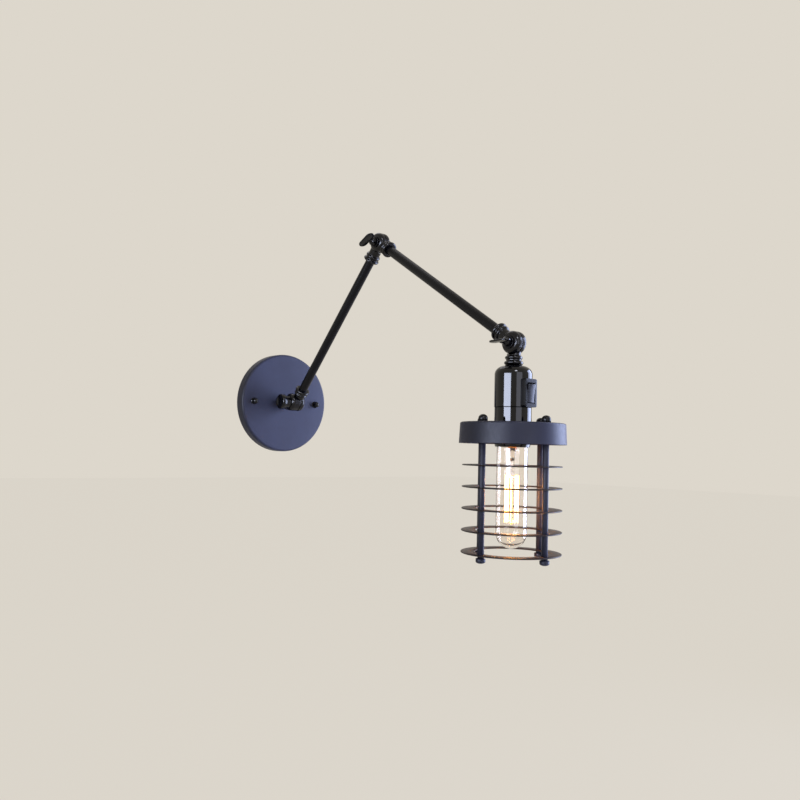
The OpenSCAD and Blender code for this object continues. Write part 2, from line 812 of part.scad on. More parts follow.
// Domed nut with a flat seat at z = 0, an upright side and a blind bore
module domed_nut(d, h) {
    r = d / 2;
    ease = 0.4;
    difference() {
        rotate_extrude() polygon(concat([[0, 0], [r - ease, 0], [r, ease]],
            [for (i = [0 : 8]) let (a = 90 * i / 8)
                [r * cos(a), nut_side + (h - nut_side) * sin(a)]]));
        translate([0, 0, -1]) cylinder(h = 1 + h * bore_share, d = rod_thread_d);
    }
}

module rod_top_nuts() {
    color("#26262c") translate(pivot_c) for (a = [0 : 90 : 270]) rotate([0, 0, a])
        translate([rod_circle / 2, 0, pan_top]) domed_nut(top_nut_d, top_nut_h);
}

module rod_feet() {
    color("#26262c") translate(pivot_c) for (a = [0 : 90 : 270]) rotate([0, 0, a])
        translate([rod_circle / 2, 0, rod_end]) rotate([180, 0, 0]) domed_nut(foot_d, foot_h);
}

// Flat ring threaded on the four rods
module cage_ring(i) {
    z = ring_z[i] - ring_t / 2;
    color("#3a3d4e") translate(pivot_c) difference() {
        translate([0, 0, z]) cylinder(h = ring_t, d = ring_d, $fn = 128);
        translate([0, 0, z - 1]) cylinder(h = ring_t + 2, d = ring_bore, $fn = 128);
        rod_holes(z - 1, ring_t + 2, rod_d + 2 * slip);
    }
}

module ring_1() {
    cage_ring(0);
}

module ring_2() {
    cage_ring(1);
}

module ring_3() {
    cage_ring(2);
}

module ring_4() {
    cage_ring(3);
}

module ring_5() {
    cage_ring(4);
}

// Long tubular bulb: rolled neck, straight wall and round end
module bulb_glass() {
    r = bulb_d / 2;
    t = glass_t;
    n = glass_neck_r;
    h = shoulder_h;
    tip = -bulb_tip;
    color("#d9a35c") translate(pivot_c) rotate_extrude() polygon(concat(
        [[n, cap_end + 4]],
        [for (a = [0 : 15 : 90]) [n + (r - n) * sin(a), cap_end - h * (1 - cos(a))]],
        arc(0, tip + r, r, 0, -90, 12), arc(0, tip + r, r - t, -90, 0, 12),
        [for (a = [90 : -15 : 0]) [n - t + (r - n) * sin(a), cap_end - t - (h - t) * (1 - cos(a))]],
        [[n - t, cap_end + 4]]));
}

// Brass cap with its thread as rolled rings
module bulb_cap() {
    r = cap_thread_d / 2;
    t = cap_wall;
    n = cap_threads;
    flange_r = button_flange_r;
    color("#c9a24a") translate(pivot_c) rotate_extrude() polygon(concat(
        [[flange_r, cap_thread_top + 3.4], [cap_shoulder_r, cap_thread_top + 0.6]],
        [for (i = [0 : 2 * n])
            [r - (i % 2 == 0 ? cap_groove : 0), cap_thread_top - i * cap_pitch / 2]],
        [[r, cap_end], [r - t, cap_end]],
        [for (i = [2 * n : -1 : 0])
            [r - t - (i % 2 == 0 ? cap_groove : 0), cap_thread_top - i * cap_pitch / 2]],
        [[cap_shoulder_r - t, cap_thread_top], [flange_r - t, cap_thread_top + 2.8]]));
}

// Black glass insulator and lead contact button on top of the cap
module bulb_cap_insulator() {
    r = button_flange_r;
    z = cap_thread_top;
    button_r = 4.6;
    color("#1a1a1a") translate(pivot_c) rotate_extrude() polygon([[0, z + 2.6],
        [r - cap_wall - slip, z + 2.6], [r, z + 3.5], [button_r + 0.2, z + 5.6],
        [button_r, cap_top], [0, cap_top]]);
}

// Pressed glass stem inside the bulb, with its rod down the middle
module bulb_stem() {
    top = cap_end + 3.6;
    flare_r = glass_neck_r - glass_t - 0.8;
    waist_r = 5.5;
    press_r = 2.4;
    end = filament_end - 2;
    color("#e8c890") translate(pivot_c) rotate_extrude() polygon([[0, top], [flare_r, top],
        [waist_r, top - 4], [press_r + 0.8, top - 11], [press_r, top - 18],
        [stem_rod_r, top - 21], [stem_rod_r, end], [0, end]]);
}

// Upright strands in a circle, linked in pairs above and below, and held by thin arms
module bulb_filament() {
    r = filament_circle / 2;
    step = 360 / filament_strands;
    hub_r = stem_rod_r + fit;
    low = filament_d;
    high = filament_l - filament_d;
    color("#ffb347") translate(pivot_c + [0, 0, filament_end])
        for (i = [0 : filament_strands - 1]) rotate([0, 0, i * step]) {
            translate([r, 0, 0]) cylinder(h = filament_l, d = filament_d, $fn = 16);
            translate([0, 0, i % 2 == 0 ? low : high]) strand_link(r, step);
            translate([hub_r, 0, i % 2 == 0 ? 2.4 * low : filament_l - 2.4 * low])
                rotate([0, 90, 0]) cylinder(h = r - hub_r, d = filament_d * 0.6, $fn = 16);
        }
}

// Short straight link from one strand to the next
module strand_link(r, step) {
    rotate([0, 0, step / 2]) translate([r * cos(step / 2), 0, 0]) rotate([90, 0, 0])
        cylinder(h = 2 * r * sin(step / 2), d = filament_d * 0.7, center = true, $fn = 16);
}

canopy();
wall_crossbar();
crossbar_studs();
canopy_cap_nuts();
earth_screw();
terminal_block();
stem_nipple();
nipple_washer();
nipple_lock_nut();
wall_knuckle();
wall_friction_washer();
wall_clamp_knob();
lower_arm_knuckle();
lower_arm_tube();
elbow_lower_knuckle();
elbow_friction_washer();
elbow_upper_knuckle();
elbow_collar();
elbow_thumb_screw();
upper_arm_tube();
head_upper_knuckle();
head_friction_washer();
head_collar();
head_thumb_screw();
head_knuckle();
socket_cap();
socket_skirt();
shade_ring();
screw_shell();
shell_base();
centre_contact();
switch_housing();
switch_rocker();
cage_pan();
rod_front();
rod_left();
rod_back();
rod_right();
rod_top_nuts();
rod_feet();
ring_1();
ring_2();
ring_3();
ring_4();
ring_5();
bulb_glass();
bulb_cap();
bulb_cap_insulator();
bulb_stem();
bulb_filament();
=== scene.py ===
import json
import math
import bpy
from mathutils import Matrix, Vector


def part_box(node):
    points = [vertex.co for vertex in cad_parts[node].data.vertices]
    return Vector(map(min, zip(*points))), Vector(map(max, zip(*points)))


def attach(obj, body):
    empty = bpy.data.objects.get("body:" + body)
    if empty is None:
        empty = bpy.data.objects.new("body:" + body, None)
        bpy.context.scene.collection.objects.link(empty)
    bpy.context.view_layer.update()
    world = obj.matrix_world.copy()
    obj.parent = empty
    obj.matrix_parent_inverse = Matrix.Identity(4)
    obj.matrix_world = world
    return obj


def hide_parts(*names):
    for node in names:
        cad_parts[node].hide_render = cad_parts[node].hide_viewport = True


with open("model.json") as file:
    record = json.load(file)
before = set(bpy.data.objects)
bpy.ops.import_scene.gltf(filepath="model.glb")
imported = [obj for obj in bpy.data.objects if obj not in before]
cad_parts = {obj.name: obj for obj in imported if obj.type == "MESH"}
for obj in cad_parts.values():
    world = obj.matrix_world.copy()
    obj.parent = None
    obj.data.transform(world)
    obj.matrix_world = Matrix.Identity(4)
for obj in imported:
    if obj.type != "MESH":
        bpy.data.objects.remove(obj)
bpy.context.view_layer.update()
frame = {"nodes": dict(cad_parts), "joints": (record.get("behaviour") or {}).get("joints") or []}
mm = 0.001

pivots = {joint["name"]: Vector(joint["pos_m"]) for joint in frame["joints"]}
wallPivot = pivots["wall_pivot"]
elbowPivot = pivots["elbow_pivot"]
headPivot = pivots["head_pivot"]


# Camera at the photo's viewing angle

cameraSetup = {
    "place": (-546.7, -880.9, -54.4),   # mm from the middle of the canopy's back
    "heading": 40.25,                   # degrees from +Y towards +X
    "tilt": 3.47,                       # degrees up
    "roll": 1.4,                        # degrees, the camera's right side up
    "lens": 36.57,                      # mm
    "sensor": 36.0,                     # mm across
    "nearest": 10.0,                    # mm, nothing closer is drawn
}


def placeCamera(setup):
    heading = math.radians(setup["heading"])
    tilt = math.radians(setup["tilt"])
    roll = math.radians(setup["roll"])
    ahead = Vector((math.sin(heading) * math.cos(tilt), math.cos(heading) * math.cos(tilt),
                    math.sin(tilt)))
    level = Vector((math.cos(heading), -math.sin(heading), 0))
    above = level.cross(ahead)
    right = level * math.cos(roll) + above * math.sin(roll)
    up = above * math.cos(roll) - level * math.sin(roll)
    bpy.ops.object.camera_add()
    camera = bpy.context.object
    camera.name = "photoCamera"
    turn = Matrix((right, up, -ahead)).transposed().to_4x4()
    camera.matrix_world = Matrix.Translation(Vector(setup["place"]) * mm) @ turn
    camera.data.sensor_width = setup["sensor"]
    camera.data.lens = setup["lens"]
    camera.data.clip_start = setup["nearest"] * mm
    bpy.context.scene.camera = camera


def deselectAll():
    for item in list(bpy.context.selected_objects):
        item.select_set(False)


def makeActive(item):
    deselectAll()
    item.select_set(True)
    bpy.context.view_layer.objects.active = item


deselectAll()
placeCamera(cameraSetup)
print("camera placed")


# Node trees

def hexToLinear(code, alpha=1.0):
    parts = [int(code[i:i + 2], 16) / 255 for i in (1, 3, 5)]
    linear = [p / 12.92 if p <= 0.04045 else ((p + 0.055) / 1.055) ** 2.4 for p in parts]
    return (*linear, alpha)


def addNode(tree, kind, settings=None, links=None):
    node = tree.nodes.new(kind)
    for key, value in (settings or {}).items():
        if isinstance(key, int) or key in node.inputs:
            node.inputs[key].default_value = value
        else:
            setattr(node, key, value)
    for key, socket in (links or {}).items():
        tree.links.new(socket, node.inputs[key])
    return node


def newMaterial(name):
    material = bpy.data.materials.new(name)
    material.use_nodes = True
    tree = material.node_tree
    tree.nodes.clear()
    return material, tree


def finishMaterial(tree, shader):
    addNode(tree, "ShaderNodeOutputMaterial", links={"Surface": shader})


# A pattern's scale is one over the size of its grain in metres
def grain(sizeMm):
    return 1 / (sizeMm * mm)


# Settings for a Mix node that goes from one colour to another
def twoColours(colour, otherColour):
    return {"data_type": "RGBA", 6: hexToLinear(colour), 7: hexToLinear(otherColour)}


# Settings for a Map Range node that stretches a run of a value between two numbers
def stretched(low, high, start=0.3, end=0.7):
    return {"From Min": start, "From Max": end, "To Min": low, "To Max": high}


# Polyester powder coat on steel and zinc: satin, with the low ripple that baking leaves,
# a faint cloudiness over a few centimetres, and a thinner, paler film on outer corners
def powderCoat(name, setup, film):
    material, tree = newMaterial(name)
    coord = addNode(tree, "ShaderNodeTexCoord")
    cloud = addNode(tree, "ShaderNodeTexNoise",
                    {"Scale": grain(setup["cloudMm"]), "Detail": 4.0, "Roughness": 0.6},
                    {"Vector": coord.outputs["Object"]})
    ripple = addNode(tree, "ShaderNodeTexNoise", {"Scale": grain(setup["rippleMm"]), "Detail": 2.0},
                     {"Vector": coord.outputs["Object"]})
    shape = addNode(tree, "ShaderNodeNewGeometry")
    edge = addNode(tree, "ShaderNodeMapRange", stretched(0.0, setup["edgeWear"], *film["cornerRun"]),
                   {"Value": shape.outputs["Pointiness"]})
    clouds = addNode(tree, "ShaderNodeMapRange", stretched(0.0, setup["cloudiness"]),
                     {"Value": cloud.outputs["Fac"]})
    both = addNode(tree, "ShaderNodeMath", {"operation": "ADD", "use_clamp": True},
                   {0: edge.outputs["Result"], 1: clouds.outputs["Result"]})
    tint = addNode(tree, "ShaderNodeMix", twoColours(setup["colour"], setup["paleColour"]),
                   {0: both.outputs["Value"]})
    smoothest, roughest = (setup["roughness"] + change for change in film["roughnessRun"])
    rough = addNode(tree, "ShaderNodeMapRange", stretched(smoothest, roughest),
                    {"Value": ripple.outputs["Fac"]})
    bump = addNode(tree, "ShaderNodeBump", {"Strength": film["bump"], "Distance": film["depthMm"] * mm},
                   {"Height": ripple.outputs["Fac"]})
    shader = addNode(tree, "ShaderNodeBsdfPrincipled",
                     {"IOR": film["ior"], "Specular IOR Level": setup["specular"]},
                     {"Base Color": tint.outputs[2], "Roughness": rough.outputs["Result"],
                      "Normal": bump.outputs["Normal"]})
    finishMaterial(tree, shader.outputs["BSDF"])
    return material


# Stoved enamel and moulded nylon, both black: smooth, with faint flow marks
def glossBlack(name, setup, film):
    material, tree = newMaterial(name)
    coord = addNode(tree, "ShaderNodeTexCoord")
    flow = addNode(tree, "ShaderNodeTexNoise",
                   {"Scale": grain(film["flowMm"]), "Detail": 3.0, "Distortion": 0.4},
                   {"Vector": coord.outputs["Object"]})
    fine = addNode(tree, "ShaderNodeTexNoise", {"Scale": grain(film["fineMm"]), "Detail": 2.0},
                   {"Vector": coord.outputs["Object"]})
    tint = addNode(tree, "ShaderNodeMix", twoColours(setup["colour"], setup["paleColour"]),
                   {0: flow.outputs["Fac"]})
    rough = addNode(tree, "ShaderNodeMapRange",
                    stretched(setup["roughness"], setup["roughness"] + setup["haze"]),
                    {"Value": fine.outputs["Fac"]})
    bump = addNode(tree, "ShaderNodeBump", {"Strength": film["bump"], "Distance": film["depthMm"] * mm},
                   {"Height": fine.outputs["Fac"]})
    shader = addNode(tree, "ShaderNodeBsdfPrincipled",
                     {"IOR": film["ior"], "Specular IOR Level": setup["specular"]},
                     {"Base Color": tint.outputs[2], "Roughness": rough.outputs["Result"],
                      "Normal": bump.outputs["Normal"]})
    finishMaterial(tree, shader.outputs["BSDF"])
    return material


# Bare metals: zinc plate is mottled by its crystals, drawn brass and bronze carry fine rub marks
def bareMetal(name, setup, film):
    material, tree = newMaterial(name)
    coord = addNode(tree, "ShaderNodeTexCoord")
    place = addNode(tree, "ShaderNodeMapping", {"Scale": setup.get("stretch", (1, 1, 1))},
                    {"Vector": coord.outputs["Object"]})
    marks = addNode(tree, "ShaderNodeTexNoise",
                    {"Scale": grain(setup["grainMm"]), "Detail": 4.0, "Roughness": 0.65},
                    {"Vector": place.outputs["Vector"]})
    tint = addNode(tree, "ShaderNodeMix", twoColours(setup["colour"], setup["darkColour"]),
                   {0: marks.outputs["Fac"]})
    rough = addNode(tree, "ShaderNodeMapRange",
                    stretched(setup["roughness"], setup["roughness"] + film["haze"]),
                    {"Value": marks.outputs["Fac"]})
    bump = addNode(tree, "ShaderNodeBump", {"Strength": film["bump"], "Distance": film["depthMm"] * mm},
                   {"Height": marks.outputs["Fac"]})
    shader = addNode(tree, "ShaderNodeBsdfPrincipled", {"Metallic": 1.0},
                     {"Base Color": tint.outputs[2], "Roughness": rough.outputs["Result"],
                      "Normal": bump.outputs["Normal"]})
    finishMaterial(tree, shader.outputs["BSDF"])
    return material


# Glazed porcelain and pressed black glass: one body colour with fine specks under a clear glaze
def glazed(name, setup, film):
    material, tree = newMaterial(name)
    coord = addNode(tree, "ShaderNodeTexCoord")
    specks = addNode(tree, "ShaderNodeTexNoise", {"Scale": grain(film["speckMm"]), "Detail": 3.0},
                     {"Vector": coord.outputs["Object"]})
    share = addNode(tree, "ShaderNodeMapRange", stretched(0.0, film["speckShare"], *film["speckRun"]),
                    {"Value": specks.outputs["Fac"]})
    tint = addNode(tree, "ShaderNodeMix", twoColours(setup["colour"], setup["speckColour"]),
                   {0: share.outputs["Result"]})
    bump = addNode(tree, "ShaderNodeBump", {"Strength": film["bump"], "Distance": film["depthMm"] * mm},
                   {"Height": specks.outputs["Fac"]})
    shader = addNode(tree, "ShaderNodeBsdfPrincipled",
                     {"Roughness": setup["roughness"], "IOR": film["ior"], "Coat Weight": film["glaze"]},
                     {"Base Color": tint.outputs[2], "Normal": bump.outputs["Normal"]})
    finishMaterial(tree, shader.outputs["BSDF"])
    return material


# Drawn soda-lime bulb glass: clear with a breath of amber, and long draw lines down the tube.
# Shadow and diffuse rays pass straight through, so the filament lights the cage.
def drawnGlass(name, setup):
    material, tree = newMaterial(name)
    coord = addNode(tree, "ShaderNodeTexCoord")
    place = addNode(tree, "ShaderNodeMapping", {"Scale": (1, 1, setup["drawStretch"])},
                    {"Vector": coord.outputs["Object"]})
    lines = addNode(tree, "ShaderNodeTexNoise", {"Scale": grain(setup["drawMm"]), "Detail": 2.0},
                    {"Vector": place.outputs["Vector"]})
    bump = addNode(tree, "ShaderNodeBump", {"Strength": setup["bump"], "Distance": setup["depthMm"] * mm},
                   {"Height": lines.outputs["Fac"]})
    glass = addNode(tree, "ShaderNodeBsdfPrincipled",
                    {"Base Color": hexToLinear(setup["colour"]), "Roughness": setup["roughness"],
                     "IOR": setup["ior"], "Specular IOR Level": setup["specular"],
                     "Transmission Weight": 1.0},
                    {"Normal": bump.outputs["Normal"]})
    clear = addNode(tree, "ShaderNodeBsdfTransparent", {"Color": hexToLinear(setup["colour"])})
    path = addNode(tree, "ShaderNodeLightPath")
    passing = addNode(tree, "ShaderNodeMath", {"operation": "MAXIMUM"},
                      {0: path.outputs["Is Shadow Ray"], 1: path.outputs["Is Diffuse Ray"]})
    mixed = addNode(tree, "ShaderNodeMixShader", links={0: passing.outputs["Value"]})
    tree.links.new(glass.outputs["BSDF"], mixed.inputs[1])
    tree.links.new(clear.outputs["BSDF"], mixed.inputs[2])
    finishMaterial(tree, mixed.outputs["Shader"])
    return material


# Carbon filament at running heat: yellow-white in the middle, orange where its hooks cool it
def glowingCarbon(name, setup, low, high):
    material, tree = newMaterial(name)
    coord = addNode(tree, "ShaderNodeTexCoord")
    split = addNode(tree, "ShaderNodeSeparateXYZ", links={"Vector": coord.outputs["Object"]})
    along = addNode(tree, "ShaderNodeMapRange", stretched(0.0, 1.0, low, high),
                    {"Value": split.outputs["Z"]})
    ramp = addNode(tree, "ShaderNodeValToRGB", links={"Fac": along.outputs["Result"]})
    stops = ramp.color_ramp.elements
    stops[0].color = stops[1].color = hexToLinear(setup["coolColour"])
    for position in (setup["coolShare"], 1 - setup["coolShare"]):
        stops.new(position).color = hexToLinear(setup["hotColour"])
    shader = addNode(tree, "ShaderNodeBsdfPrincipled",
                     {"Base Color": hexToLinear(setup["carbonColour"]), "Roughness": setup["roughness"],
                      "Emission Strength": setup["strength"]},
                     {"Emission Color": ramp.outputs["Color"]})
    finishMaterial(tree, shader.outputs["BSDF"])
    return material


# What all finishes of a kind share: bump strength and depth, IOR and the runs of their patterns
coatFilm = {"ior": 1.5, "bump": 0.1, "depthMm": 0.03, "cornerRun": (0.54, 0.66),
            "roughnessRun": (-0.03, 0.04)}
glossFilm = {"ior": 1.5, "bump": 0.04, "depthMm": 0.03, "flowMm": 11, "fineMm": 1.1}
metalFilm = {"bump": 0.1, "depthMm": 0.05, "haze": 0.16}
glazeFilm = {"ior": 1.5, "bump": 0.08, "depthMm": 0.05, "glaze": 0.4, "speckMm": 0.7, "speckShare": 0.5,
             "speckRun": (0.55, 0.75)}

coatSetup = {
    # slate: the same black powder coat as the arms, lifted to blue-grey as a painted sheen of bluish soft
    # light on broad faces
    "paintedSheen": {"colour": "#383a4c", "paleColour": "#414459", "roughness": 0.46, "specular": 0.2,
              "cloudMm": 34, "rippleMm": 3.2, "cloudiness": 0.6, "edgeWear": 0.25},
    "black": {"colour": "#0a0a0f", "paleColour": "#16161f", "roughness": 0.31, "specular": 0.17,
              "cloudMm": 22, "rippleMm": 2.6, "cloudiness": 0.35, "edgeWear": 0.15},
    "fitting": {"colour": "#08080d", "paleColour": "#13131b", "roughness": 0.2, "specular": 0.3,
                "cloudMm": 18, "rippleMm": 2.6, "cloudiness": 0.35, "edgeWear": 0.15},
    "brown": {"colour": "#261d1e", "paleColour": "#352929", "roughness": 0.42, "specular": 0.22,
              "cloudMm": 26, "rippleMm": 2.6, "cloudiness": 0.4, "edgeWear": 0.15},
}
glossSetup = {
    "socket": {"colour": "#060609", "paleColour": "#0b0b10", "roughness": 0.05, "haze": 0.03,
               "specular": 0.34},
    "switch": {"colour": "#101118", "paleColour": "#171821", "roughness": 0.34, "haze": 0.08,
               "specular": 0.2},
    "rocker": {"colour": "#1f212c", "paleColour": "#282a37", "roughness": 0.28, "haze": 0.06,
               "specular": 0.25},
}
metalSetup = {
    "zinc": {"colour": "#b9bcc0", "darkColour": "#84878c", "roughness": 0.28, "grainMm": 2.4},
    "brass": {"colour": "#c9a05a", "darkColour": "#9a7434", "roughness": 0.24, "grainMm": 1.8,
              "stretch": (1, 1, 6)},
    "bronze": {"colour": "#5d4026", "darkColour": "#3a2818", "roughness": 0.45, "grainMm": 1.2},
    "green": {"colour": "#3f8f55", "darkColour": "#245c34", "roughness": 0.35, "grainMm": 1.5},
}
glazeSetup = {
    "porcelain": {"colour": "#e9e4d6", "speckColour": "#c9bfa6", "roughness": 0.22},
    "vitrite": {"colour": "#141316", "speckColour": "#2a262c", "roughness": 0.15},
}
bulbSetup = {"colour": "#fffaf5", "ior": 1.4, "roughness": 0.02, "specular": 0.14, "bump": 0.015,
             "depthMm": 0.05, "drawMm": 3.0, "drawStretch": 0.03}
filamentSetup = {"carbonColour": "#3a2a20", "roughness": 0.6, "strength": 75.0, "hotColour": "#ffb56a",
                 "coolColour": "#ff9a48", "coolShare": 0.16}

# The slate coat on canopy, pan, rods and feet is the black paint with a painted bluish sheen in its colour
sheenPaintedBlackCoat = powderCoat("satinPowderCoatBlackPaintedSheen", coatSetup["paintedSheen"], coatFilm)
blackCoat = powderCoat("satinPowderCoatBlack", coatSetup["black"], coatFilm)
fittingCoat = powderCoat("glossPowderCoatBlack", coatSetup["fitting"], coatFilm)
brownCoat = powderCoat("satinPowderCoatBrown", coatSetup["brown"], coatFilm)
socketBlack = glossBlack("stovedBlackEnamel", glossSetup["socket"], glossFilm)
switchBlack = glossBlack("mouldedNylonBlack", glossSetup["switch"], glossFilm)
rockerBlack = glossBlack("mouldedNylonRocker", glossSetup["rocker"], glossFilm)
zincPlate = bareMetal("zincPlatedSteel", metalSetup["zinc"], metalFilm)
drawnBrass = bareMetal("drawnBrass", metalSetup["brass"], metalFilm)
dullBronze = bareMetal("phosphorBronze", metalSetup["bronze"], metalFilm)
greenPlate = bareMetal("greenPassivatedZinc", metalSetup["green"], metalFilm)
porcelain = glazed("glazedPorcelain", glazeSetup["porcelain"], glazeFilm)
vitrite = glazed("pressedBlackGlass", glazeSetup["vitrite"], glazeFilm)
clearGlass = drawnGlass("drawnBulbGlass", bulbSetup)
filamentLow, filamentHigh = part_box("bulb_filament")
litCarbon = glowingCarbon("litCarbonFilament", filamentSetup, filamentLow.z, filamentHigh.z)
print("materials made")


# Modelling helpers

seamGap = 0.000002    # metres between points that a turned profile's seam merges
nodeGap = 0.000004    # metres between points that a CAD node's copy merges
flatAngle = 0.6       # degrees between faces that a CAD node's copy makes one


def applyModifiers(piece):
    makeActive(piece)
    for modifier in list(piece.modifiers):
        bpy.ops.object.modifier_apply(modifier=modifier.name)


def smoothByAngle(piece, degrees=32):
    makeActive(piece)
    bpy.ops.object.shade_smooth_by_angle(angle=math.radians(degrees))


def bevelEdges(piece, widthMm, segments=2, degrees=38):
    bevel = piece.modifiers.new("softEdges", "BEVEL")
    bevel.width = widthMm * mm
    bevel.segments = segments
    bevel.limit_method = "ANGLE"
    bevel.angle_limit = math.radians(degrees)
    bevel.harden_normals = False
    applyModifiers(piece)


def dress(piece, material, body, nodeName):
    piece.data.materials.clear()
    piece.data.materials.append(material)
    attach(piece, body)
    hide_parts(nodeName)


def settle(piece, matrix):
    piece.matrix_world = matrix
    makeActive(piece)
    bpy.ops.object.transform_apply(location=True, rotation=True, scale=True)


# The piece and its copies, each with a mesh of its own
def repeatPiece(piece, count):
    pieces = [piece]
    while len(pieces) < count:
        twin = piece.copy()
        twin.data = piece.data.copy()
        bpy.context.scene.collection.objects.link(twin)
        pieces.append(twin)
    return pieces


def joinPieces(pieces, name):
    deselectAll()
    for item in pieces:
        item.select_set(True)
    bpy.context.view_layer.objects.active = pieces[0]
    bpy.ops.object.join()
    piece = bpy.context.object
    piece.name = name
    return piece


# Frame at a pivot whose own +Z leans outwards from straight up by the angle
def leaning(pivot, degrees=0.0):
    return Matrix.Translation(pivot) @ Matrix.Rotation(math.radians(degrees), 4, "X")


# Frame at a pivot whose own +Z points along -X, the side that the joint's screw or knob is on
def facingLeft(pivot):
    return Matrix.Translation(pivot) @ Matrix.Rotation(math.radians(-90), 4, "Y")


def selectVerts(piece, test):
    bpy.ops.mesh.select_mode(type="VERT")
    bpy.ops.mesh.select_all(action="DESELECT")
    bpy.ops.object.mode_set(mode="OBJECT")
    for vert in piece.data.vertices:
        vert.select = test(vert.co)
    bpy.ops.object.mode_set(mode="EDIT")


# Turns a profile round Z: a circle is extruded and resized from station to station.
# A station is (radius, height) in mm. A radius of 0 is a closed pole, and a profile
# that ends where it began closes on itself.
def turnProfile(name, stations, segments):
    deselectAll()
    loop = stations[0] == stations[-1]
    startsAtPole = stations[0][0] == 0
    first = 1 if startsAtPole else 0
    radius, height = stations[first]
    bpy.ops.mesh.primitive_circle_add(vertices=segments, radius=radius * mm, location=(0, 0, 0),
                                      fill_type="TRIFAN" if startsAtPole else "NOTHING")
    piece = bpy.context.object
    piece.name = name
    bpy.ops.object.mode_set(mode="EDIT")
    bpy.ops.mesh.select_all(action="SELECT")
    bpy.ops.transform.translate(value=(0, 0, height * mm))
    if startsAtPole:
        selectVerts(piece, lambda co: co.xy.length < radius * mm * 0.5)
        bpy.ops.transform.translate(value=(0, 0, (stations[0][1] - height) * mm))
        selectVerts(piece, lambda co: co.xy.length > radius * mm * 0.5)
    bpy.ops.mesh.select_mode(type="EDGE")
    for nextRadius, nextHeight in stations[first + 1:]:
        rise = (nextHeight - height) * mm
        bpy.ops.mesh.extrude_edges_move(TRANSFORM_OT_translate={"value": (0, 0, rise)})
        if nextRadius == 0:
            bpy.ops.mesh.merge(type="CENTER")
            break
        change = nextRadius / radius
        bpy.ops.transform.resize(value=(change, change, 1), center_override=(0, 0, 0))
        radius, height = nextRadius, nextHeight
    bpy.ops.mesh.select_mode(type="VERT")
    bpy.ops.mesh.select_all(action="SELECT")
    if loop:
        bpy.ops.mesh.remove_doubles(threshold=seamGap)
    bpy.ops.mesh.normals_make_consistent(inside=False)
    bpy.ops.object.mode_set(mode="OBJECT")
    return piece


# Points of an arc round (centre radius, centre height), from one angle to another. With a
# rise of its own it is a stretch of an ellipse.
def arc(centreRadius, centreHeight, r, start, end, steps, rise=None):
    rise = r if rise is None else rise
    turns = [math.radians(start + (end - start) * i / steps) for i in range(steps + 1)]
    return [(centreRadius + r * math.cos(t), centreHeight + rise * math.sin(t)) for t in turns]


# A merged copy of a CAD node, with its flat faces whole again
def copyNode(nodeName, pieceName):
    source = frame["nodes"][nodeName]
    piece = bpy.data.objects.new(pieceName, source.data.copy())
    bpy.context.scene.collection.objects.link(piece)
    makeActive(piece)
    bpy.ops.object.mode_set(mode="EDIT")
    bpy.ops.mesh.select_all(action="SELECT")
    bpy.ops.mesh.remove_doubles(threshold=nodeGap)
    bpy.ops.mesh.dissolve_limited(angle_limit=math.radians(flatAngle))
    bpy.ops.object.mode_set(mode="OBJECT")
    return piece


# A casting: a fine voxel skin over the CAD form, relaxed so that its corners
# blend like die-cast zinc under paint
def castNode(nodeName, pieceName, setup, grainMm):
    piece = copyNode(nodeName, pieceName)
    skin = piece.modifiers.new("fineSkin", "REMESH")
    skin.mode = "VOXEL"
    skin.voxel_size = grainMm * mm
    relax = piece.modifiers.new("softSkin", "SMOOTH")
    relax.factor = setup["softness"]
    relax.iterations = setup["rounds"]
    applyModifiers(piece)
    makeActive(piece)
    bpy.ops.object.shade_smooth()
    return piece


# Wall canopy: spun dish with a rolled edge, and its two domed nuts

canopySetup = {"radius": 60.5, "depth": 13.2, "sheet": 1.2, "edge": 3.0, "hem": 3.0, "burr": 0.2,
               "flatShare": 0.6, "stemHole": 5.0}
capNutSetup = {"spacing": 88.9, "radius": 3.5, "height": 7.2, "flange": 0.7, "flangeHeight": 0.5,
               "fillet": 0.2, "filletHeight": 0.95, "neckHeight": 1.3}


def makeCanopy(setup):
    r, depth, sheet, edge = setup["radius"], setup["depth"], setup["sheet"], setup["edge"]
    hole, hem, burr = setup["stemHole"], setup["hem"], setup["burr"]
    flat = r * setup["flatShare"]
    outside = [(r - sheet, 0), (r - burr, 0), (r, burr), (r, hem),
               *arc(r - edge, depth - edge, edge, 0, 90, 8), (flat, depth), (hole, depth)]
    inside = [(hole, depth - sheet), (flat, depth - sheet),
              *arc(r - edge, depth - edge, edge - sheet, 90, 0, 8), (r - sheet, hem), (r - sheet, 0)]
    piece = turnProfile("canopyShell", outside + inside, segments=160)
    settle(piece, Matrix.Rotation(math.radians(90), 4, "X"))
    smoothByAngle(piece, 40)
    dress(piece, sheenPaintedBlackCoat, "wall_mount", "canopy")


def makeCapNuts(setup):
    r, h, wide = setup["radius"], setup["height"], setup["radius"] + setup["flange"]
    stations = [(0, 0), (wide, 0), (wide, setup["flangeHeight"]),
                (r + setup["fillet"], setup["filletHeight"]), (r, setup["neckHeight"]),
                *arc(0, h - r, r, 0, 80, 8), (0, h)]
    nuts = repeatPiece(turnProfile("capNut", stations, segments=40), 2)
    for nut, side in zip(nuts, (-1, 1)):
        spot = Matrix.Translation((side * setup["spacing"] / 2 * mm, -canopySetup["depth"] * mm, 0))
        settle(nut, spot @ Matrix.Rotation(math.radians(90), 4, "X"))
    piece = joinPieces(nuts, "canopyCapNuts")
    smoothByAngle(piece, 40)
    dress(piece, fittingCoat, "wall_mount", "canopy_cap_nuts")


makeCanopy(canopySetup)
makeCapNuts(capNutSetup)

